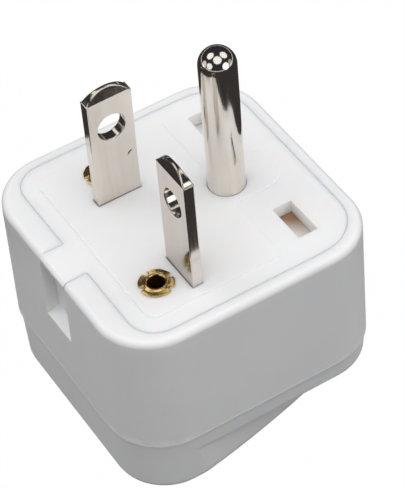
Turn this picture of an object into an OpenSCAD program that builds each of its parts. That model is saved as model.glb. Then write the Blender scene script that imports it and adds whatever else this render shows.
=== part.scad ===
// Plug adapter: a moulded housing with a universal socket face underneath and
// two flat blades and a round ground pin standing up out of its plug face.
// Origin at the bottom centre of the body: the socket face lies on z = 0 and
// the plug face looks up. Millimetres. +Y points towards the ground pin.

/* [Body] */
// Width and depth of the moulded body at the rim
body_w = 36.4; // [36:0.1:37]
// Height from the socket face to the rim
body_h = 27.75; // [27.25:0.25:28.5]
// Corner radius of the body seen from above
corner_r = 7.5; // [7:0.1:8]
// Radius of the rounded rim around the plug face
rim_r = 0.9; // [0.5:0.1:1.1]
// Height of the shoulder line that runs round the walls
shoulder_z = 8.8; // [8.2:0.1:9.5]
// Height of the underside of the band, where the socket nose starts
nose_z = 6; // [5.6:0.1:6.4]
// Thickness of the socket face
face_t = 2; // [1.6:0.1:2.4]

/* [Base plate] */
// Width of the inset base plate
plate_w = 32.8; // [32.4:0.1:33]
// Thickness of the base plate
plate_t = 2; // [1.8:0.1:2.2]
// Width of the tab that crosses the front rim
tab_w = 5.7; // [5:0.1:6.5]
// Height of the raised panel that carries the pins
panel_rise = 0.25; // [0.15:0.05:0.35]
// Width of each snap window
window_w = 5.9; // [5.4:0.1:6.2]

/* [Pins] */
// Width of a flat blade
blade_w = 6.1; // [6:0.05:6.4]
// Thickness of a flat blade
blade_t = 1.45; // [1.4:0.05:1.6]
// Length of a flat blade above the plug face
blade_len = 17.95; // [17.5:0.05:18.3]
// Diameter of the hole through a blade
blade_hole_d = 3.75; // [3.2:0.05:4]
// Distance of the upright blade from the centre line
upright_x = 6.35; // [6.2:0.05:6.5]
// Distance of the crosswise blade from the centre line
crosswise_x = 9.5; // [9.4:0.05:9.6]
// Diameter of the ground pin
ground_d = 4.76; // [4.7:0.02:4.82]
// Length of the ground pin above the plug face
ground_len = 22; // [21:0.05:22.4]
// Distance from the blade line to the ground pin
ground_pitch = 11.95; // [11.8:0.05:12]

/* [Socket openings] */
// Distance between the two round live openings
round_pitch = 19; // [18.8:0.1:19.2]
// Diameter of a round live opening
round_d = 5.2; // [5:0.1:5.4]
// Width of a wide rectangular live opening
wide_w = 7; // [6.8:0.1:7.2]
// Height of a wide rectangular live opening
wide_h = 4.5; // [4.3:0.1:4.7]
// Distance of the live openings from the body's centre
live_y = 10; // [9.8:0.1:10.2]

/* [Hidden] */

$fn = 72;
fine = 360;
eps = 0.02;

white = [0.93, 0.93, 0.92];
plate_white = [0.94, 0.94, 0.94];
nickel = [0.74, 0.71, 0.67];
gold = [0.82, 0.65, 0.33];
spring_brass = [0.78, 0.63, 0.36];

// Body levels and half widths
half = body_w / 2;
corner_c = half - corner_r;
wall_low_half = half + 0.15;
band_top_half = half - 0.06;
band_low_half = half - 0.22;
foot_half = half - 0.4;
foot_c = 0.55;
shoulder_step = 0.18;

// Socket nose: two large side arcs that close in towards the ground pin, a flat
// rear, and a third arc that takes the two rear corners off
nose_arc_r = 150;
nose_arc_x = 130.42;
nose_arc_y = -32;
nose_rear = foot_half - 0.25;
nose_corner_r = 19.4;

// Base plate, its seat and the cavity below it
seat_z = body_h - plate_t;
face_z = body_h + panel_rise;
plate_front = -14.8;
plate_rear = half - 1.8;
plate_front_r = 3.8;
plate_rear_r = 6;
plate_gap = 0.05;
ledge_w = 0.7;
wall_t = 1.8;
cavity_step_z = nose_z + wall_t;
earth_pocket_w = 4.8;
earth_pocket_y = 16.3;

// Raised panel: a wide field in front, a round-ended stem behind
panel_w = 28;
panel_front = -12.6;
panel_rear = 5.75;
stem_w = 7.2;
stem_y = 10.4;

// Pins
line_y = -5.1;
ground_y = line_y + ground_pitch;
blade_corner = 16.4;
tip_half_w = 2.92;
tip_ridge = 0.45;
blade_hole_z = 11.8;
foot_z = seat_z - blade_t;
foot_reach = 6.4;
rivet_offset = 3.95;
slot_gap = 0.05;

// Rivets
shank_r = 1.65;
bore_r = 1.1;
flange_r = 2.25;
flange_h = 0.48;
notch_w = 0.5;
notch_in = 1.62;
notch_angles = [31, 91, 188, 266];
head_r = 2.3;
head_t = 0.55;
hole_gap = 0.05;

// Contacts
strip_t = 0.6;
strip_top = foot_z;
strip_z = strip_top - strip_t;
leaf_t = 0.5;
jaw_out = 3.6;
strip_front = -live_y - jaw_out - leaf_t / 2;
jaw_x0 = 8.5;
jaw_x1 = 13.5;
slot_jaw_out = 1.5;
mouth_z = 6.9;

// Tab, notch and snaps
notch_w_half = 2.95;
notch_deep = 1.6;
notch_slope = 0.375;
notch_low = 17.4;
lip_t = 0.6;
window_y0 = 9;
window_y1 = 11.75;
window_x = 6.95;
leg_t = 1.5;
barb = 1.3;
catch_t = 2;
tongue_x = 7;
tongue_w = 5;
tongue_t = 0.9;
tongue_out = 0.8;

// A plan with separate front and rear corner radii
module plan(w, y0, y1, rf, rr) {
    translate([-w / 2, y0 + rf]) square([w, y1 - y0 - rf - rr]);
    translate([-w / 2 + rf, y0]) square([w - 2 * rf, rf + 1]);
    translate([-w / 2 + rr, y1 - rr - 1]) square([w - 2 * rr, rr + 1]);
    for (s = [-1, 1]) {
        translate([s * (w / 2 - rf), y0 + rf]) circle(rf);
        translate([s * (w / 2 - rr), y1 - rr]) circle(rr);
    }
}

// Side profile of the body, measured outwards from the centre of a corner
module side_profile() {
    polygon([
        [0, 0],
        [foot_half - corner_c - foot_c, 0],
        [foot_half - corner_c, foot_c],
        [band_low_half - corner_c, nose_z],
        [band_top_half - corner_c, shoulder_z - shoulder_step],
        [wall_low_half - corner_c, shoulder_z],
        [corner_r, body_h - rim_r],
        [corner_r - rim_r, body_h],
        [0, body_h]
    ]);
    translate([corner_r - rim_r, body_h - rim_r]) circle(rim_r);
}

// The whole body outside, with its rim, draft, shoulder and tapered band
module body_block() {
    translate([-corner_c, -corner_c, 0]) cube([2 * corner_c, 2 * corner_c, body_h]);
    for (k = [0:3]) {
        rotate([0, 0, 90 * k]) translate([corner_c, corner_c, 0]) {
            rotate_extrude(angle = 90) side_profile();
            rotate([90, 0, 0]) linear_extrude(2 * corner_c) side_profile();
        }
    }
}

// Outline of the socket nose, drawn in by inset
module nose_outline(inset) {
    intersection() {
        translate([-half, -half - 1]) square([body_w, half + 1 + nose_rear - inset]);
        translate([-nose_arc_x, nose_arc_y]) circle(nose_arc_r - inset, $fn = fine);
        translate([nose_arc_x, nose_arc_y]) circle(nose_arc_r - inset, $fn = fine);
        union() {
            circle(nose_corner_r - inset);
            translate([-half, -half - 1]) square([body_w, half + 1]);
        }
    }
}

// Section that takes the bottom edge off the nose when it is swept along it
module foot_cut() {
    polygon([
        [-foot_c - 1, -1],
        [1, -1],
        [1, foot_c + 1]
    ]);
}

// Takes the bottom edge off along the side arcs, the rear and the rear corners
module nose_edge_cuts() {
    for (s = [0, 1]) mirror([s, 0, 0]) {
        translate([-nose_arc_x, nose_arc_y, 0]) rotate([0, 0, -6])
            rotate_extrude(angle = 30, $fn = fine) translate([nose_arc_r, 0]) foot_cut();
    }
    rotate([0, 0, 35]) rotate_extrude(angle = 110) translate([nose_corner_r, 0]) foot_cut();
    translate([-half, nose_rear, 0]) rotate([90, 0, 90]) linear_extrude(body_w) foot_cut();
}

// Live opening for round, wide, upright and slanted pins
module live_opening() {
    round_x = round_pitch / 2;
    wide_x = 11.1;
    upright_w = 1.9;
    upright_h = 7.2;
    slant_x = 6.9;
    slant_h = 6.9;
    translate([round_x, -live_y]) circle(d = round_d);
    translate([wide_x - wide_w / 2, -live_y - wide_h / 2]) square([wide_w, wide_h]);
    translate([upright_x - upright_w / 2, -live_y - upright_h / 2]) square([upright_w, upright_h]);
    translate([slant_x, -live_y]) rotate([0, 0, 30])
        translate([-upright_w / 2, -slant_h / 2]) square([upright_w, slant_h]);
}

// Earth opening: a round hole, a narrow slot and a tall rectangle in one keyhole
module earth_opening() {
    round_y = 1.95;
    earth_d = 5.1;
    narrow_w = 1.9;
    tall_w = 4.4;
    tall_y0 = 8;
    tall_y1 = 16.2;
    translate([0, round_y]) circle(d = earth_d);
    translate([-narrow_w / 2, round_y]) square([narrow_w, tall_y0 - round_y + 1]);
    translate([-tall_w / 2, tall_y0]) square([tall_w, tall_y1 - tall_y0]);
}

// Walls that keep the live chambers apart from the earth chamber
module partitions() {
    rib_t = 1;
    rib_top = strip_z + 0.4;
    arm_x = 4.3;
    cross_y = -2;
    rib_h = rib_top - face_t + eps;
    translate([-rib_t / 2, plate_front, face_t - eps]) cube([rib_t, cross_y - plate_front + eps, rib_h]);
    translate([-arm_x - rib_t, cross_y, face_t - eps]) cube([2 * (arm_x + rib_t), rib_t, rib_h]);
    for (s = [-1, 1]) {
        translate([s * (arm_x + rib_t / 2) - rib_t / 2, cross_y, face_t - eps])
            cube([rib_t, plate_rear - cross_y, rib_h]);
    }
}

// Catch shelves under the snap windows, which the barbs hook beneath
module catch_shelves() {
    side_play = 0.35;
    for (s = [-1, 1]) {
        translate([s * (window_x + window_w / 2) - window_w / 2 - side_play, window_y0 - 0.3, seat_z - catch_t])
            cube([window_w + 2 * side_play, plate_rear - window_y0, catch_t]);
    }
}

// Ramped notch in the front wall, below the tab
module front_notch() {
    deep_y = -half + notch_deep;
    translate([-notch_w_half, 0, 0]) rotate([90, 0, 90]) linear_extrude(2 * notch_w_half)
        polygon([
            [-half - 1, notch_low - notch_slope],
            [deep_y, notch_low + notch_slope * notch_deep],
            [deep_y, body_h + 1],
            [-half - 1, body_h + 1]
        ]);
}

module housing() {
    seat_w = plate_w + 2 * plate_gap;
    color(white) {
        difference() {
            union() {
                intersection() {
                    body_block();
                    translate([-half - 1, -half - 1, nose_z]) cube([body_w + 2, body_w + 2, body_h]);
                }
                intersection() {
                    body_block();
                    translate([0, 0, -1]) linear_extrude(nose_z + 1 + eps) nose_outline(0);
                }
            }
            nose_edge_cuts();
            translate([0, 0, seat_z]) linear_extrude(plate_t + 1)
                plan(seat_w, plate_front - plate_gap, plate_rear + plate_gap,
                     plate_front_r + plate_gap, plate_rear_r + plate_gap);
            translate([0, 0, cavity_step_z]) linear_extrude(body_h)
                plan(plate_w - 2 * ledge_w, plate_front + ledge_w, plate_rear - ledge_w,
                     plate_front_r - ledge_w, plate_rear_r - ledge_w);
            translate([0, 0, face_t]) linear_extrude(cavity_step_z)
                intersection() {
                    nose_outline(wall_t + 0.2);
                    plan(plate_w - 2 * ledge_w, plate_front + ledge_w, plate_rear - ledge_w,
                         plate_front_r - ledge_w, plate_rear_r - ledge_w);
                }
            translate([0, 0, -1]) linear_extrude(face_t + 2) {
                live_opening();
                mirror([1, 0]) live_opening();
                earth_opening();
            }
            // room for the far end of a tall earth pin
            translate([-earth_pocket_w / 2, 0, face_t]) cube([earth_pocket_w, earth_pocket_y, body_h]);
            front_notch();
            translate([-tab_w / 2 - plate_gap, -half - 1, seat_z])
                cube([tab_w + 2 * plate_gap, half + 1 + plate_front + 1, plate_t + 1]);
            for (s = [-1, 1]) {
                translate([s * (tongue_x + tongue_w / 2) - tongue_w / 2 - plate_gap, plate_front - tongue_out - 0.2, seat_z])
                    cube([tongue_w + 2 * plate_gap, tongue_out + 0.7, tongue_t + plate_gap]);
            }
        }
        partitions();
        catch_shelves();
    }
}

// Snap leg with a barb that hooks beneath its catch shelf
module snap_leg() {
    leg_play = 0.5;
    leg_y = window_y0 - leg_play - leg_t;
    barb_top = seat_z - catch_t - 0.1;
    barb_h = 1.6;
    rotate([90, 0, 90]) linear_extrude(window_w - 0.2) polygon([
        [leg_y, seat_z + eps],
        [leg_y, barb_top - barb_h - 0.3],
        [leg_y + leg_t, barb_top - barb_h - 0.3],
        [leg_y + leg_t + barb, barb_top - 0.4],
        [leg_y + leg_t + barb, barb_top],
        [leg_y + leg_t, barb_top],
        [leg_y + leg_t, seat_z + eps]
    ]);
}

module base_plate() {
    ground_hole_r = ground_d / 2 + slot_gap;
    slot_w = blade_w + 2 * slot_gap;
    slot_t = blade_t + 2 * slot_gap;
    color(plate_white) {
        difference() {
            union() {
                translate([0, 0, seat_z]) linear_extrude(plate_t)
                    plan(plate_w, plate_front, plate_rear, plate_front_r, plate_rear_r);
                // raised panel
                translate([0, 0, seat_z]) linear_extrude(plate_t + panel_rise) {
                    plan(panel_w, panel_front, panel_rear, 1.6, 0.5);
                    translate([-stem_w / 2, panel_rear - 1]) square([stem_w, stem_y - panel_rear + 1]);
                    translate([0, stem_y]) circle(d = stem_w);
                }
                // tab across the rim, its underside sloping in to the notch
                translate([-tab_w / 2, 0, 0]) rotate([90, 0, 90]) linear_extrude(tab_w) polygon([
                    [plate_front + 1, seat_z],
                    [-half + notch_deep, seat_z],
                    [-half, body_h - lip_t - 0.3],
                    [-half, body_h - 0.35],
                    [-half + 0.35, body_h],
                    [plate_front + 1, body_h]
                ]);
                for (s = [-1, 1]) {
                    translate([s * (tongue_x + tongue_w / 2) - tongue_w / 2, plate_front - tongue_out, seat_z])
                        cube([tongue_w, tongue_out + 1, tongue_t]);
                }
            }
            // slots and holes for the pins and rivets
            translate([-upright_x - slot_t / 2, line_y - slot_w / 2, seat_z - 1]) cube([slot_t, slot_w, plate_t + 2]);
            translate([crosswise_x - slot_w / 2, line_y - slot_t / 2, seat_z - 1]) cube([slot_w, slot_t, plate_t + 2]);
            translate([0, ground_y, seat_z - 1]) cylinder(h = plate_t + 2, r = ground_hole_r);
            translate([-upright_x - rivet_offset, line_y, seat_z - 1])
                cylinder(h = plate_t + 2, r = shank_r + hole_gap);
            translate([crosswise_x, line_y - rivet_offset, seat_z - 1])
                cylinder(h = plate_t + 2, r = shank_r + hole_gap);
            // snap windows
            for (s = [-1, 1]) {
                translate([s * (window_x + window_w / 2) - window_w / 2, window_y0, seat_z - 1])
                    cube([window_w, window_y1 - window_y0, plate_t + 2]);
            }
        }
        for (s = [0, 1]) mirror([s, 0, 0]) translate([window_x + 0.1, 0, 0]) snap_leg();
    }
}

// Blade standing on its blade line: thickness along X, foot bent towards -X
module blade() {
    top = face_z + blade_len;
    corner = face_z + blade_corner;
    rise = blade_len - blade_corner;
    tip_r = (tip_half_w * tip_half_w + rise * rise) / (2 * rise);
    bar_low = foot_z + blade_t;
    difference() {
        union() {
            intersection() {
                // outline of the wide face, with an arched tip
                translate([-blade_t / 2, 0, 0]) rotate([90, 0, 90]) linear_extrude(blade_t) {
                    translate([-blade_w / 2, bar_low]) square([blade_w, corner - bar_low]);
                    intersection() {
                        translate([0, top - tip_r]) circle(tip_r);
                        translate([-tip_half_w, corner - 1]) square([2 * tip_half_w, rise + 2]);
                    }
                }
                // outline of the edge, with both faces bevelled at the tip
                translate([0, blade_w / 2, 0]) rotate([90, 0, 0]) linear_extrude(blade_w)
                    polygon([
                        [-blade_t / 2, bar_low],
                        [blade_t / 2, bar_low],
                        [blade_t / 2, corner],
                        [tip_ridge / 2, top + 0.01],
                        [-tip_ridge / 2, top + 0.01],
                        [-blade_t / 2, corner]
                    ]);
            }
            // bent foot under the base plate
            translate([0, blade_w / 2, 0]) rotate([90, 0, 0]) linear_extrude(blade_w) {
                intersection() {
                    translate([-blade_t / 2, bar_low]) circle(blade_t);
                    translate([-blade_t / 2, bar_low - blade_t]) square([blade_t, blade_t]);
                }
                translate([-foot_reach, foot_z]) square([foot_reach - blade_t / 2, blade_t]);
            }
        }
        translate([-blade_t, 0, face_z + blade_hole_z]) rotate([0, 90, 0])
            cylinder(h = 2 * blade_t, d = blade_hole_d);
        translate([-rivet_offset, 0, foot_z - 1]) cylinder(h = blade_t + 2, r = shank_r + hole_gap);
    }
}

module upright_blade() {
    color(nickel) translate([-upright_x, line_y, 0]) blade();
}

module crosswise_blade() {
    color(nickel) translate([crosswise_x, line_y, 0]) rotate([0, 0, 90]) blade();
}

// Ground pin: round nose, plain shank, a waist where it passes the plate, then
// a collar under the plate and a riveted tail
module ground_pin() {
    pin_r = ground_d / 2;
    waist_r = 2;
    waist_top = face_z + 0.06;
    collar_r = 3.2;
    tail_r = 1.6;
    dome_z = face_z + ground_len - pin_r;
    color(nickel) translate([0, ground_y, 0]) rotate_extrude() {
        intersection() {
            translate([0, dome_z]) circle(pin_r);
            translate([0, dome_z - 1]) square([pin_r + 1, pin_r + 2]);
        }
        polygon([
            [0, strip_z - head_t],
            [head_r - 0.3, strip_z - head_t],
            [head_r, strip_z],
            [tail_r, strip_z],
            [tail_r, foot_z],
            [collar_r, foot_z],
            [collar_r, seat_z],
            [waist_r, seat_z],
            [waist_r, waist_top],
            [pin_r, waist_top],
            [pin_r, dome_z],
            [0, dome_z]
        ]);
    }
}

// Hollow rivet: factory head below, rolled flange slit into four lobes above
module hollow_rivet() {
    ring_r = 1.45;
    lobe_top = face_z + 0.28;
    ring_top = face_z + flange_h;
    difference() {
        rotate_extrude() polygon([
            [bore_r, strip_z - head_t],
            [head_r, strip_z - head_t],
            [head_r, strip_z],
            [shank_r, strip_z],
            [shank_r, face_z],
            [flange_r, face_z],
            [flange_r, lobe_top - 0.1],
            [flange_r - 0.15, lobe_top],
            [ring_r + 0.15, lobe_top + 0.04],
            [ring_r, ring_top],
            [bore_r + 0.12, ring_top],
            [bore_r, ring_top - 0.12]
        ]);
        for (a = notch_angles) {
            rotate([0, 0, a]) translate([notch_in, -notch_w / 2, face_z + 0.05])
                cube([flange_r, notch_w, flange_h + 1]);
        }
    }
}

module upright_rivet() {
    color(gold) translate([-upright_x - rivet_offset, line_y, 0]) hollow_rivet();
}

module crosswise_rivet() {
    color(gold) translate([crosswise_x, line_y - rivet_offset, 0]) hollow_rivet();
}

// Points on one side of a strip that follows a path of [distance, height]
function unit(v) = v / norm(v);
function side(v) = [-v[1], v[0]];
function mitre(path, i) =
    let (
        last = len(path) - 1,
        before = unit(path[max(i, 1)] - path[max(i, 1) - 1]),
        after = unit(path[min(i, last - 1) + 1] - path[min(i, last - 1)]),
        n = unit(side(before) + side(after))
    ) n / (n * side(before));
function strip_side(path, off) = [for (i = [0:len(path) - 1]) path[i] + off * mitre(path, i)];
function turn_back(points) = [for (i = [len(points) - 1:-1:0]) points[i]];

// Spring leaf: a bent strip of the given width along Y, bending in the XZ plane
module leaf(path, width) {
    rotate([90, 0, 0]) linear_extrude(width)
        polygon(concat(strip_side(path, leaf_t / 2), turn_back(strip_side(path, -leaf_t / 2))));
}

// A pair of facing leaves that grips a pin between them
module leaf_pair(out, waist, width) {
    path = [
        [out, strip_z + strip_t / 2],
        [out, strip_z - 2],
        [waist, mouth_z + 2.8],
        [waist - 0.1, mouth_z + 1.9],
        [waist + 1.2, mouth_z]
    ];
    translate([0, width / 2, 0]) {
        leaf(path, width);
        mirror([1, 0, 0]) leaf(path, width);
    }
}

// Live contact on the +X side: a riveted strip, a jaw for thick pins and a jaw for
// thin ones. Both jaws hang clear of the rivet's head.
module live_contact(strip_rear, rivet_x, rivet_y, out, slot_y0, slot_y1) {
    strip_x0 = upright_x - slot_jaw_out - leaf_t / 2;
    strip_x1 = jaw_x1 + 0.1;
    lance_w = 2 * slot_jaw_out - leaf_t;
    slot_jaw_w = slot_y1 - slot_y0;
    difference() {
        translate([strip_x0, strip_front, strip_z])
            cube([strip_x1 - strip_x0, strip_rear - strip_front, strip_t]);
        translate([rivet_x, rivet_y, strip_z - 1]) cylinder(h = strip_t + 2, r = shank_r + hole_gap);
        translate([upright_x - lance_w / 2, slot_y0, strip_z - 1])
            cube([lance_w, slot_jaw_w, strip_t + 2]);
    }
    translate([(jaw_x0 + jaw_x1) / 2, -live_y, 0]) rotate([0, 0, 90]) leaf_pair(out, 1.05, jaw_x1 - jaw_x0);
    translate([upright_x, (slot_y0 + slot_y1) / 2, 0]) leaf_pair(slot_jaw_out, 0.75, slot_jaw_w);
}

module left_contact() {
    color(spring_brass) mirror([1, 0, 0])
        live_contact(line_y + 2.9, upright_x + rivet_offset, line_y, 2.25, -12.5, -7.5);
}

module right_contact() {
    color(spring_brass)
        live_contact(-live_y + jaw_out + leaf_t / 2, crosswise_x, line_y - rivet_offset, jaw_out, -13.6, -11.1);
}

// Earth contact: a strip riveted to the ground pin, with two pairs of leaves
module earth_contact() {
    out = 3.6;
    near_y0 = -0.4;
    near_y1 = 7.3;
    far_y0 = 8.7;
    far_y1 = 15.2;
    color(spring_brass) {
        difference() {
            translate([-out - leaf_t / 2, near_y0, strip_z]) cube([2 * out + leaf_t, far_y1 - near_y0, strip_t]);
            translate([0, ground_y, strip_z - 1]) cylinder(h = strip_t + 2, r = 1.65);
        }
        translate([0, (near_y0 + near_y1) / 2, 0]) leaf_pair(out, 1, near_y1 - near_y0);
        translate([0, (far_y0 + far_y1) / 2, 0]) leaf_pair(out, 1.2, far_y1 - far_y0);
    }
}

housing();
base_plate();
upright_blade();
crosswise_blade();
ground_pin();
upright_rivet();
crosswise_rivet();
left_contact();
right_contact();
earth_contact();
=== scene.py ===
# A plug adapter standing on its socket face, dressed for its studio picture.
# Lengths are in metres, in the same frame as the solids: +Z out of the plug
# face, +Y towards the ground pin, +X towards the crosswise blade.
import math

import bmesh
import bpy
from mathutils import Matrix, Vector


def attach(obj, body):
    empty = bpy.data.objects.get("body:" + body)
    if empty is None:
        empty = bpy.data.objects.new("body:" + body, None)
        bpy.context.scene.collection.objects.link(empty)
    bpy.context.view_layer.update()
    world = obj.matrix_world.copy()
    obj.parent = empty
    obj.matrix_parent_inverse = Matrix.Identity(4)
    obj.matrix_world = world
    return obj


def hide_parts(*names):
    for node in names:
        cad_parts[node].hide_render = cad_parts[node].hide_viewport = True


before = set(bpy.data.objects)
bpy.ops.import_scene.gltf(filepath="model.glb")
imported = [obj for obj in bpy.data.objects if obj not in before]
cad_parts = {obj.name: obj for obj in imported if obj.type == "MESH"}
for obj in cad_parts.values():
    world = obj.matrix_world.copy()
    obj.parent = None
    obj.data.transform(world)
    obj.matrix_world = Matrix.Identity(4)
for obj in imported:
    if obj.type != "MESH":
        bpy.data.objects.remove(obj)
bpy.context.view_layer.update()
MM = 0.001


# Shader maths


class Signal:
    """A number that varies over a surface, with plain arithmetic on it."""

    def __init__(self, look, socket):
        self.look = look
        self.socket = socket

    def maths(self, operation, first, second=None):
        values = {0: first} if second is None else {0: first, 1: second}
        return self.look.number("ShaderNodeMath", {"operation": operation}, values)

    def __add__(self, other):
        return self.maths("ADD", self, other)

    def __radd__(self, other):
        return self.maths("ADD", other, self)

    def __sub__(self, other):
        return self.maths("SUBTRACT", self, other)

    def __rsub__(self, other):
        return self.maths("SUBTRACT", other, self)

    def __mul__(self, other):
        return self.maths("MULTIPLY", self, other)

    def __rmul__(self, other):
        return self.maths("MULTIPLY", other, self)

    def __truediv__(self, other):
        return self.maths("DIVIDE", self, other)

    def __abs__(self):
        return self.maths("ABSOLUTE", self)


class Look:
    """A material or world whose nodes are made by one method."""

    def __init__(self, owner):
        owner.use_nodes = True
        self.owner = owner
        self.nodes = owner.node_tree.nodes
        self.links = owner.node_tree.links
        self.nodes.clear()

    def add(self, kind, settings=None, sockets=None):
        node = self.nodes.new(kind)
        for name, value in (settings or {}).items():
            if name == "stops":
                self.set_stops(node.color_ramp, value)
            else:
                setattr(node, name, value)
        for name, value in (sockets or {}).items():
            if isinstance(value, Signal):
                value = value.socket
            if isinstance(value, bpy.types.NodeSocket):
                self.links.new(value, node.inputs[name])
            else:
                node.inputs[name].default_value = value
        return node

    def set_stops(self, ramp, stops):
        while len(ramp.elements) < len(stops):
            ramp.elements.new(1)
        for element, (place, colour) in zip(ramp.elements, stops):
            element.position = place
            element.color = colour

    def number(self, kind, settings=None, sockets=None, output=0):
        return Signal(self, self.add(kind, settings, sockets).outputs[output])

    def place(self):
        return self.add("ShaderNodeTexCoord").outputs["Object"]

    def axes(self):
        split = self.add("ShaderNodeSeparateXYZ", None, {0: self.place()})
        return [Signal(self, split.outputs[i]) for i in range(3)]

    def stretched(self, scale):
        mapping = self.add("ShaderNodeMapping", None, {"Vector": self.place(), "Scale": scale})
        return mapping.outputs["Vector"]

    def noise(self, scale, detail=3, roughness=0.5, stretch=(1, 1, 1), distortion=0):
        """Noise from 0 to 1, scale in blobs per metre."""
        return self.number(
            "ShaderNodeTexNoise",
            None,
            {
                "Vector": self.stretched(stretch),
                "Scale": scale,
                "Detail": detail,
                "Roughness": roughness,
                "Distortion": distortion,
            },
        )

    def span(self, value, low, high, to_low=0.0, to_high=1.0):
        """The value carried from one range to another with soft ends."""
        return self.number(
            "ShaderNodeMapRange",
            {"interpolation_type": "SMOOTHSTEP"},
            {
                "Value": value,
                "From Min": low,
                "From Max": high,
                "To Min": to_low,
                "To Max": to_high,
            },
        )

    def blend(self, share, first, second):
        """A colour between two colours."""
        node = self.add(
            "ShaderNodeMix",
            {"data_type": "RGBA"},
            {"Factor": share},
        )
        for index, colour in ((6, first), (7, second)):
            if isinstance(colour, bpy.types.NodeSocket):
                self.links.new(colour, node.inputs[index])
            else:
                node.inputs[index].default_value = colour
        return node.outputs[2]

    def away_from(self, point):
        """Distance to a point of the object."""
        return self.number(
            "ShaderNodeVectorMath",
            {"operation": "DISTANCE"},
            {0: self.place(), 1: point},
            "Value",
        )

    def relief(self, height, depth, strength=1.0, under=None):
        sockets = {"Height": height, "Distance": depth, "Strength": strength}
        if under is not None:
            sockets["Normal"] = under
        return self.add("ShaderNodeBump", None, sockets).outputs["Normal"]

    def finish(self, shader):
        kind = "ShaderNodeOutputWorld" if isinstance(self.owner, bpy.types.World) else "ShaderNodeOutputMaterial"
        self.add(kind, None, {"Surface": shader})
        return self.owner


def rgb(red, green, blue):
    return (red, green, blue, 1.0)


def tinted(shade, tint):
    """A colour with each of its channels turned down."""
    return tuple(channel * share for channel, share in zip(shade[:3], tint)) + (1.0,)


# Materials


HOUSING_WHITE = rgb(0.91, 0.91, 0.9)
PLATE_WHITE = rgb(0.93, 0.925, 0.915)
# Brown painted shade, for the floors deep in the snap windows
PAINTED_SHADE_BROWN = rgb(0.36, 0.21, 0.13)
NICKEL = rgb(0.77, 0.73, 0.68)
# Painted reflection: a greyer, warmer nickel painted on the crosswise blade's front face, standing in for the dimmer
# reflection there
PAINTED_DIM_REFLECTION = rgb(0.6, 0.54, 0.49)
BARE_METAL = rgb(0.02, 0.018, 0.016)
GOLD = rgb(0.83, 0.63, 0.27)
SPRING_BRASS = rgb(0.78, 0.62, 0.36)

# Light goes a little way into white plastic, in metres, and less far for blue
GLOW_REACH = 0.8 * MM
GLOW_TINT = (1.0, 0.88, 0.8)

# Rolling lines run along the pins
ROLLED = (1, 1, 0.05)


def moulded_white(name, shade, gloss, grain_depth, painted_shade=None):
    """White moulded plastic: soft gloss, fine grain, faint flow marks and scuffs, and a brown painted shade where a
    mask for it is given.
    """
    look = Look(bpy.data.materials.new(name))
    grain = look.noise(9000, detail=2)
    flow = look.noise(90, detail=2, distortion=0.4)
    scuff = look.noise(420, detail=6, roughness=0.7, stretch=(1, 5, 1))
    scuffed = look.span(scuff, 0.62, 0.75)
    darker = tinted(shade, (0.94, 0.94, 0.94))
    colour = look.blend(look.span(flow, 0.3, 0.7) * 0.35 + scuffed * 0.25, shade, darker)
    # Painted shade: a brown shade is painted where the mask asks for it
    if painted_shade is not None:
        colour = look.blend(painted_shade(look), colour, PAINTED_SHADE_BROWN)
    height = grain + flow * 6
    shader = look.add(
        "ShaderNodeBsdfPrincipled",
        None,
        {
            "Base Color": colour,
            "Roughness": gloss + (grain - 0.5) * 0.08 + scuffed * 0.12,
            "IOR": 1.45,
            "Subsurface Weight": 0.8,
            "Subsurface Radius": GLOW_TINT,
            "Subsurface Scale": GLOW_REACH,
            "Normal": look.relief(height, grain_depth),
        },
    )
    return look.finish(shader.outputs["BSDF"])


def nickel_plate(name, gloss, ripple, marks=None, painted_dim_reflection=None):
    """Bright nickel plating with rolling lines along the part and rougher hazy patches, with a painted dimmer
    reflection on the faces a mask picks.
    """
    look = Look(bpy.data.materials.new(name))
    lines = look.noise(3200, detail=4, roughness=0.6, stretch=ROLLED)
    bands = look.noise(700, detail=3, stretch=ROLLED)
    haze = look.noise(260, detail=4)
    warm = tinted(NICKEL, (0.93, 0.88, 0.82))
    colour = look.blend(look.span(bands, 0.35, 0.7) * 0.6 + look.span(haze, 0.5, 0.75) * 0.3, NICKEL, warm)
    rough = gloss + look.span(lines, 0.3, 0.8) * 0.07 + look.span(haze, 0.5, 0.8) * 0.06
    height = lines + look.noise(1500, detail=4) * 0.5
    # Painted reflection: the masked faces are painted greyer and warmer, streaked along the bands
    if painted_dim_reflection is not None:
        colour = look.blend(painted_dim_reflection(look) * look.span(bands, 0.2, 0.6, 0.75, 1), colour, PAINTED_DIM_REFLECTION)
    if marks is not None:
        dark = marks(look)
        colour = look.blend(dark, colour, BARE_METAL)
        rough = rough + dark * 0.4
        height = height - dark * 6
    shader = look.add(
        "ShaderNodeBsdfPrincipled",
        None,
        {
            "Base Color": colour,
            "Metallic": 1.0,
            "Roughness": rough,
            "Normal": look.relief(height, ripple * MM, 0.6),
        },
    )
    return look.finish(shader.outputs["BSDF"])


def brass(name, shade, gloss):
    """Yellow brass with coppery and tarnished patches and small dents."""
    look = Look(bpy.data.materials.new(name))
    patches = look.noise(900, detail=4, roughness=0.6)
    dents = look.noise(2600, detail=3)
    copper = tinted(shade, (0.92, 0.72, 0.55))
    colour = look.blend(look.span(patches, 0.4, 0.75) * 0.8, shade, copper)
    shader = look.add(
        "ShaderNodeBsdfPrincipled",
        None,
        {
            "Base Color": colour,
            "Metallic": 1.0,
            "Roughness": gloss + look.span(patches, 0.4, 0.8) * 0.12,
            "Normal": look.relief(dents, 0.02 * MM, 0.7),
        },
    )
    return look.finish(shader.outputs["BSDF"])


# The floor of each snap window, where a brown shade is painted
WINDOW_END = 6.95 * MM
WINDOW_FRONT = 9 * MM
WINDOW_DEEP = 2.75 * MM
WINDOW_LONG = 7 * MM
SHELF_TOP = 25.75 * MM


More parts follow.
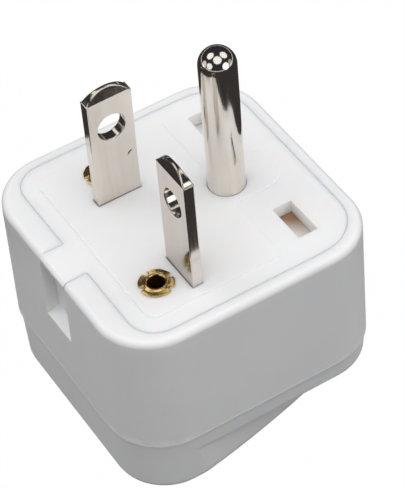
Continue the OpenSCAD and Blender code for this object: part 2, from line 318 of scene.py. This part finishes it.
def window_floor_painted_shade(look):
    """Painted brown shade on the shelf in each window, strongest at its inner end and towards its rear wall."""
    x, y, z = look.axes()
    inner = look.span(abs(x) - WINDOW_END, 4.5 * MM, -0.5 * MM)
    rear = look.span(y - WINDOW_FRONT, -0.3 * MM, WINDOW_DEEP)
    within = (
        look.span(abs(x), WINDOW_END - 0.3 * MM, WINDOW_END - 0.1 * MM)
        * look.span(abs(x), WINDOW_END + WINDOW_LONG + 0.5 * MM, WINDOW_END + WINDOW_LONG)
        * look.span(y, WINDOW_FRONT - 0.3 * MM, WINDOW_FRONT - 0.1 * MM)
        * look.span(y, WINDOW_FRONT + WINDOW_DEEP + 0.3 * MM, WINDOW_FRONT + WINDOW_DEEP + 0.1 * MM)
        * look.span(z, SHELF_TOP + 0.1 * MM, SHELF_TOP + 0.05 * MM)
        * look.span(z, SHELF_TOP - 0.6 * MM, SHELF_TOP - 0.3 * MM)
    )
    return within * (inner * 0.9 + rear * 0.4)


# A nick in the upright blade's wide face, and a streak down the pin's shank
NICK = Vector((-5.625, -2.8, 34.2)) * MM
NICK_INNER = NICK + Vector((0, 0.1, -0.1)) * MM
WIDE_FACE_Y = -5.7 * MM
STREAK_TOP = 38.15 * MM
STREAK_FOOT = 32.95 * MM
STREAK_LEAN = 0.08


def blade_nick(look):
    """A small dark crescent, where the plating is nicked."""
    outer = look.span(look.away_from(NICK), 0.62 * MM, 0.57 * MM)
    inner = look.span(look.away_from(NICK_INNER), 0.55 * MM, 0.5 * MM)
    x, y, z = look.axes()
    upper = look.span(z - y, NICK.z - NICK.y + 0.4 * MM, NICK.z - NICK.y + 0.6 * MM)
    return outer * (1 - inner) * upper


def wide_face_painted_dim(look):
    """The front face of the crosswise blade, painted with a dimmer, warmer reflection."""
    x, y, z = look.axes()
    return look.span(y, WIDE_FACE_Y, WIDE_FACE_Y - 0.08 * MM)


def pin_streak(look):
    """A hair-thin dark line down the side of the pin."""
    x, y, z = look.axes()
    middle = (STREAK_TOP + STREAK_FOOT) / 2
    across = abs(y + (z - middle) * STREAK_LEAN)
    line = look.span(across, 0.09 * MM, 0.03 * MM)
    along = look.span(z, STREAK_FOOT, STREAK_FOOT + 1.5 * MM) * look.span(z, STREAK_TOP, STREAK_TOP - 0.8 * MM)
    side = look.span(x, 0.5 * MM, 1.0 * MM)
    return line * along * side * 0.8


housing_white = moulded_white("housing_white", HOUSING_WHITE, 0.36, 0.0025 * MM, window_floor_painted_shade)
plate_white = moulded_white("plate_white", PLATE_WHITE, 0.42, 0.003 * MM)
upright_nickel = nickel_plate("upright_nickel", 0.09, 0.003, marks=blade_nick)
crosswise_nickel = nickel_plate("crosswise_nickel", 0.09, 0.003, painted_dim_reflection=wide_face_painted_dim)
pin_nickel = nickel_plate("pin_nickel", 0.06, 0.012, marks=pin_streak)
rivet_brass = brass("rivet_brass", GOLD, 0.2)
contact_brass = brass("contact_brass", SPRING_BRASS, 0.3)


# Softened copies


# Heights of edges with a rounding of their own, in millimetres
FOOT_EDGE = 0.55
SHOULDER = 8.8
RIM_TOP = 27.75
PANEL_TOP = 28.0
LEVEL_SLACK = 0.02

# Angles between faces, in degrees: below the first they are one flat area
FLAT_BELOW = 0.3
LEVEL_EDGE_FROM = 3
CREASE_FROM = 7
ROUNDED_FROM = 28


def new_object(name, data):
    made = bpy.data.objects.new(name, data)
    bpy.context.scene.collection.objects.link(made)
    return made


def borders(build):
    """The face borders of a solid before its faces are joined, as pairs of places."""
    found = set()
    for edge in build.edges:
        if edge.is_boundary:
            found.add(frozenset(place_key(vertex) for vertex in edge.verts))
    return found


def place_key(vertex):
    return tuple(round(value / (0.001 * MM)) for value in vertex.co)


def clean_copy(node, name):
    """A copy of a solid's mesh with joined faces, flat areas whole and creases marked."""
    build = bmesh.new()
    build.from_mesh(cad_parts[node].data)
    outlines = borders(build)
    bmesh.ops.remove_doubles(build, verts=build.verts, dist=0.0005 * MM)
    for edge in build.edges:
        edge.seam = frozenset(place_key(vertex) for vertex in edge.verts) in outlines
    bmesh.ops.dissolve_limit(
        build,
        angle_limit=math.radians(FLAT_BELOW),
        use_dissolve_boundaries=False,
        verts=build.verts,
        edges=build.edges,
        delimit={"SEAM"},
    )
    for edge in build.edges:
        edge.smooth = not (edge.seam and edge.calc_face_angle(0) > math.radians(CREASE_FROM))
    for face in build.faces:
        face.smooth = True
    shape = bpy.data.meshes.new(name)
    build.to_mesh(shape)
    build.free()
    return new_object(name, shape)


def soften(piece, rounding, levels):
    """Rounds a piece's edges and shades it smoothly; levels holds heights with a rounding of their own."""
    widest = max([rounding] + list(levels.values()))
    piece.data.attributes.new("bevel_weight_edge", "FLOAT", "EDGE")
    build = bmesh.new()
    build.from_mesh(piece.data)
    layer = build.edges.layers.float.get("bevel_weight_edge")
    for edge in build.edges:
        turn = math.degrees(edge.calc_face_angle(0))
        if turn > ROUNDED_FROM:
            edge[layer] = rounding / widest
        for level, width in levels.items():
            off_level = max(abs(vertex.co.z / MM - level) for vertex in edge.verts)
            if off_level < LEVEL_SLACK and turn > LEVEL_EDGE_FROM:
                edge[layer] = width / widest
    build.to_mesh(piece.data)
    build.free()
    round_edges = piece.modifiers.new("round_edges", "BEVEL")
    round_edges.width = widest * MM
    round_edges.segments = 3
    round_edges.limit_method = "WEIGHT"
    round_edges.use_clamp_overlap = False
    round_edges.miter_outer = "MITER_ARC"
    round_edges.harden_normals = True
    shade = piece.modifiers.new("shade", "WEIGHTED_NORMAL")
    shade.keep_sharp = True


# The moulding line above the shoulder: heights over it and depth, in millimetres
LINE_FOOT = 0.1
LINE_DEEPEST = 0.38
LINE_TOP = 1.5
LINE_DEPTH = 0.095

# How far from the middle the outer sides lie at least, in metres
OUTER_WALL = 14 * MM
PLATE_SIDE = 13 * MM


def press_line(piece):
    """Presses a shallow hollow round the outer walls, so that the shoulder keeps a fine ridge."""
    build = bmesh.new()
    build.from_mesh(piece.data)
    for rise in (LINE_FOOT, LINE_DEEPEST, LINE_TOP):
        everything = build.verts[:] + build.edges[:] + build.faces[:]
        place = Vector((0, 0, SHOULDER + rise)) * MM
        bmesh.ops.bisect_plane(build, geom=everything, dist=0.0001 * MM, plane_co=place, plane_no=(0, 0, 1))
    build.normal_update()
    for vertex in build.verts:
        outward = Vector((vertex.normal.x, vertex.normal.y, 0))
        level = abs(vertex.co.z / MM - SHOULDER - LINE_DEEPEST) < 0.01
        if level and outward.dot(vertex.co) > OUTER_WALL:
            vertex.co -= outward.normalized() * LINE_DEPTH * MM
    build.to_mesh(piece.data)
    build.free()


def spread_sides(piece, grow):
    """Moves the plate's upright sides outwards a little, which leaves a finer parting groove."""
    build = bmesh.new()
    build.from_mesh(piece.data)
    build.normal_update()
    for vertex in build.verts:
        side = sum((face.normal for face in vertex.link_faces if abs(face.normal.z) < 0.1), Vector())
        side.z = 0
        if side.length > 0.1 and vertex.co.xy.length > PLATE_SIDE:
            vertex.co += side.normalized() * grow * MM
    build.to_mesh(piece.data)
    build.free()


def dress(node, name, finish, rounding, levels=None, grow=None, line=False):
    """Stands a softened copy in for a solid."""
    piece = clean_copy(node, name)
    if grow is not None:
        spread_sides(piece, grow)
    if line:
        press_line(piece)
    piece.data.materials.append(finish)
    soften(piece, rounding, levels or {})
    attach(piece, "root")
    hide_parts(node)
    return piece


# Turned pieces


def spin(name, profile, steps, warp=None):
    """A closed turned mesh from a profile of radius and height, on the Z axis."""
    build = bmesh.new()
    rings = []
    for step in range(steps):
        angle = 2 * math.pi * step / steps
        ring = []
        for radius, height in profile:
            if warp is not None:
                radius, height = warp(radius, height, angle)
            ring.append(build.verts.new((radius * math.cos(angle) * MM, radius * math.sin(angle) * MM, height * MM)))
        rings.append(ring)
    for step in range(steps):
        near, far = rings[step], rings[(step + 1) % steps]
        for row in range(len(profile) - 1):
            build.faces.new((near[row], far[row], far[row + 1], near[row + 1]))
    bmesh.ops.remove_doubles(build, verts=build.verts, dist=0.0001 * MM)
    bmesh.ops.dissolve_degenerate(build, edges=build.edges, dist=0.0001 * MM)
    bmesh.ops.recalc_face_normals(build, faces=build.faces)
    for face in build.faces:
        face.smooth = True
    for edge in build.edges:
        edge.smooth = edge.calc_face_angle(0) < math.radians(40)
    shape = bpy.data.meshes.new(name)
    build.to_mesh(shape)
    build.free()
    return new_object(name, shape)


def arc(centre, radius, first, last, steps):
    """Points on an arc, angles in degrees from the radius axis."""
    return [
        (
            centre[0] + radius * math.cos(math.radians(first + (last - first) * k / steps)),
            centre[1] + radius * math.sin(math.radians(first + (last - first) * k / steps)),
        )
        for k in range(steps + 1)
    ]


# The pin and the rivets repeat the sizes of their solids, in millimetres
PIN_Y = 6.85
PIN_R = 2.38
PIN_DOME = 47.62
STRIP_LOW = 23.7
PLATE_LOW = 25.75
FOOT_LOW = 24.3
TAIL_LOW = STRIP_LOW - 0.55
COLLAR_R = 3.2
TAIL_R = 1.6
HEAD_R = 2.3
HOLE_R = 2.42
SHANK_R = 1.65
BORE_R = 1.1


def pin_shape():
    """The ground pin: riveted tail, collar, straight shank and dome."""
    profile = [(0, TAIL_LOW), (2.0, TAIL_LOW), (HEAD_R, STRIP_LOW), (TAIL_R, STRIP_LOW), (TAIL_R, FOOT_LOW)]
    profile += [(COLLAR_R, FOOT_LOW), (COLLAR_R, PLATE_LOW), (HOLE_R, PLATE_LOW)]
    profile += [(HOLE_R, PANEL_TOP - 0.06), (PIN_R, PANEL_TOP)]
    profile += [(PIN_R, z) for z in (30, 35, 40, 45)]
    profile += arc((0, PIN_DOME), PIN_R, 0, 89.9, 24) + [(0, PIN_DOME + PIN_R)]
    piece = spin("ground_pin_turned", profile, 144)
    piece.location = Vector((0, PIN_Y, 0)) * MM
    return piece


RIVET_NOTCHES = (31, 91, 188, 266)
NOTCH_HALF = 0.25
NOTCH_FLOOR = 1.62
LOBE_R = 2.25


def rolled_lobes(radius, height, angle):
    """Draws the flange in at its slits, with a slightly uneven rim."""
    if height < PANEL_TOP - 0.001 or radius < NOTCH_FLOOR:
        return radius, height
    wave = 1 + 0.008 * math.sin(5 * angle + 0.7) + 0.006 * math.sin(11 * angle)
    drawn = 0.0
    for notch in RIVET_NOTCHES:
        apart = abs((math.degrees(angle) - notch + 180) % 360 - 180)
        across = math.radians(apart) * radius
        drawn = max(drawn, min(1.0, max(0.0, (NOTCH_HALF + 0.05 - across) / 0.08)))
    outer = NOTCH_FLOOR + (radius * wave - NOTCH_FLOOR) * (1 - drawn)
    return min(outer, LOBE_R), height


def rivet_shape(name, place):
    """A hollow rivet with its head below and its rolled lobes above."""
    profile = [(BORE_R, TAIL_LOW), (HEAD_R, TAIL_LOW), (HEAD_R, STRIP_LOW), (SHANK_R, STRIP_LOW)]
    profile += [(r, PANEL_TOP) for r in (SHANK_R, 1.9, 2.1, 2.2)]
    profile += arc((2.13, PANEL_TOP + 0.12), 0.12, -60, 90, 6)
    profile += [(r, PANEL_TOP + rise) for r, rise in ((2.0, 0.28), (1.85, 0.3), (1.68, 0.32), (1.56, 0.38))]
    profile += arc((1.33, PANEL_TOP + 0.3), 0.18, 60, 150, 6)
    profile += arc((BORE_R + 0.15, PANEL_TOP + 0.27), 0.15, 160, 180, 2)
    profile += [(BORE_R, PANEL_TOP), (BORE_R, TAIL_LOW)]
    piece = spin(name, profile, 180, rolled_lobes)
    piece.location = Vector((place[0], place[1], 0)) * MM
    return piece


def set_turned(piece, node, finish):
    """Stands a turned piece in for a solid."""
    piece.data.materials.append(finish)
    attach(piece, "root")
    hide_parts(node)


# Widths of the rounded edges, in millimetres
HOUSING_EDGES = {FOOT_EDGE: 0.5, SHOULDER: 0.06, RIM_TOP: 0.03}
PLATE_EDGES = {RIM_TOP: 0.03, PANEL_TOP: 0.12}
dress("housing", "housing_shell", housing_white, 0.06, HOUSING_EDGES, line=True)
dress("base_plate", "base_plate_moulding", plate_white, 0.06, PLATE_EDGES, grow=0.035)
dress("upright_blade", "upright_blade_stamping", upright_nickel, 0.16)
dress("crosswise_blade", "crosswise_blade_stamping", crosswise_nickel, 0.16)
for side in ("left", "right", "earth"):
    dress(side + "_contact", side + "_contact_spring", contact_brass, 0.05)
set_turned(pin_shape(), "ground_pin", pin_nickel)
set_turned(rivet_shape("crosswise_rivet_rolled", (9.5, -9.05)), "crosswise_rivet", rivet_brass)
set_turned(rivet_shape("upright_rivet_rolled", (-10.3, -5.1)), "upright_rivet", rivet_brass)


# Studio


FLOOR_HALF = 3.0
CENTRE = Vector((0, 0, 0))

# The floor's white sheet ends at the first radius, and its grey rises from there to the second
SHEET_RADIUS = 40 * MM
LIT_RADIUS = 260 * MM
DEEP_SHADE = rgb(0.02, 0.02, 0.02)
FLOOR_GREY = rgb(0.2, 0.2, 0.215)
FAR_FLOOR = rgb(0.045, 0.039, 0.038)
EYE_WHITE = 0.985
SHEET_WHITE = 0.35


def floor_paper():
    """Pale paper: plain white to the eye and, around the object, to the metal too."""
    look = Look(bpy.data.materials.new("floor_paper"))
    rays = look.add("ShaderNodeLightPath")
    eye = Signal(look, rays.outputs["Is Camera Ray"])
    metal = Signal(look, rays.outputs["Is Glossy Ray"]) + Signal(look, rays.outputs["Is Transmission Ray"])
    near = look.span(look.away_from(CENTRE), SHEET_RADIUS * 1.1, SHEET_RADIUS * 0.95)
    far = look.span(look.away_from(CENTRE), SHEET_RADIUS, LIT_RADIUS)
    lit = look.add("ShaderNodeBsdfDiffuse", None, {"Color": look.blend(far, DEEP_SHADE, FLOOR_GREY)})
    white = look.add("ShaderNodeEmission", None, {"Color": rgb(1, 1, 1), "Strength": 1.012})
    dim = look.add("ShaderNodeEmission", None, {"Color": FAR_FLOOR, "Strength": 1.0})
    share = eye * EYE_WHITE + metal * near * SHEET_WHITE
    seen = look.add("ShaderNodeMixShader", None, {0: share, 1: lit.outputs[0], 2: white.outputs[0]})
    shader = look.add("ShaderNodeMixShader", None, {0: metal * (1 - near), 1: seen.outputs[0], 2: dim.outputs[0]})
    return look.finish(shader.outputs[0])


def make_floor():
    shape = bpy.data.meshes.new("floor")
    build = bmesh.new()
    bmesh.ops.create_grid(build, x_segments=8, y_segments=8, size=FLOOR_HALF)
    build.to_mesh(shape)
    build.free()
    floor = new_object("floor", shape)
    shape.materials.append(floor_paper())


# What is seen above the horizon and at it, and the soft light from low and from high
BACKDROP_DARK = rgb(0.03, 0.029, 0.031)
BACKDROP_WHITE = rgb(0.97, 0.97, 0.97)
LOW_LIGHT = rgb(0.14, 0.14, 0.145)
HIGH_LIGHT = rgb(0.78, 0.78, 0.8)


def make_world():
    world = bpy.data.worlds.new("studio")
    bpy.context.scene.world = world
    look = Look(world)
    rays = look.add("ShaderNodeLightPath")
    seen = (
        Signal(look, rays.outputs["Is Camera Ray"])
        + Signal(look, rays.outputs["Is Glossy Ray"])
        + Signal(look, rays.outputs["Is Transmission Ray"])
    )
    direction = look.add("ShaderNodeTexCoord").outputs["Generated"]
    up = Signal(look, look.add("ShaderNodeSeparateXYZ", None, {0: direction}).outputs[2])
    backdrop = look.blend(look.span(up, 0.05, 0.03), BACKDROP_DARK, BACKDROP_WHITE)
    sky = look.blend(look.span(up, 0.0, 1.0), LOW_LIGHT, HIGH_LIGHT)
    fill = look.add("ShaderNodeBackground", None, {"Color": sky, "Strength": 1.0})
    behind = look.add("ShaderNodeBackground", None, {"Color": backdrop, "Strength": 1.0})
    shader = look.add("ShaderNodeMixShader", None, {0: seen, 1: fill.outputs[0], 2: behind.outputs[0]})
    look.finish(shader.outputs[0])


# Direction, half width and brightness of each soft lamp
LAMPS = {
    "key": ((0.37, -0.16, 0.914), 0.42, 0.8),
    "over_left": ((-0.42, -0.36, 0.83), 0.32, 0.84),
    "over_rear": ((0.09, 0.59, 0.80), 0.34, 0.8),
    "front_window": ((0.16, -0.91, 0.38), 0.3, 0.76),
    "right_window": ((0.886, 0.354, 0.29), 0.34, 1.0),
    "front_side": ((-0.42, -0.876, 0.23), 0.26, 0.55),
    "right_side": ((0.533, 0.829, 0.17), 0.26, 0.3),
}
LAMP_DISTANCE = 0.8
LAMP_RADIANCE = 1.4
AIM = Vector((0, 0, 0.03))


def make_lamps():
    for name, (direction, half_width, level) in LAMPS.items():
        data = bpy.data.lights.new(name, "AREA")
        data.shape = "DISK"
        size = 2 * half_width * LAMP_DISTANCE
        data.size = size
        area = math.pi * (size / 2) ** 2
        data.energy = LAMP_RADIANCE * level * area * math.pi
        lamp = new_object(name, data)
        toward = Vector(direction).normalized()
        lamp.location = AIM + toward * LAMP_DISTANCE
        lamp.rotation_euler = toward.to_track_quat("Z", "Y").to_euler()


# Camera, solved from the pins
AZIMUTH = math.radians(61.927)
ELEVATION = math.radians(46.464)
ROLL = math.radians(-5.304)
PIN_FRAME = Vector((0, -5.1, 27.75)) * MM
ACROSS = 7.12 * MM
ABOVE = -2.402 * MM
DISTANCE = 286.213 * MM
LENS = 173.41
SENSOR = 36


def make_camera():
    back = Vector((
        math.sin(AZIMUTH) * math.cos(ELEVATION),
        -math.cos(AZIMUTH) * math.cos(ELEVATION),
        math.sin(ELEVATION),
    ))
    level = Vector((math.cos(AZIMUTH), math.sin(AZIMUTH), 0))
    rise = back.cross(level)
    right = math.cos(ROLL) * level + math.sin(ROLL) * rise
    up = math.cos(ROLL) * rise - math.sin(ROLL) * level
    data = bpy.data.cameras.new("camera")
    data.sensor_width = SENSOR
    data.lens = LENS
    data.clip_start = 0.01
    data.clip_end = 20
    camera = new_object("camera", data)
    place = PIN_FRAME + back * DISTANCE + right * ACROSS + up * ABOVE
    turn = Matrix((right, up, back)).transposed().to_4x4()
    camera.matrix_world = Matrix.Translation(place) @ turn
    bpy.context.scene.camera = camera


make_floor()
make_world()
make_lamps()
make_camera()
bpy.context.scene.view_settings.view_transform = "Standard"
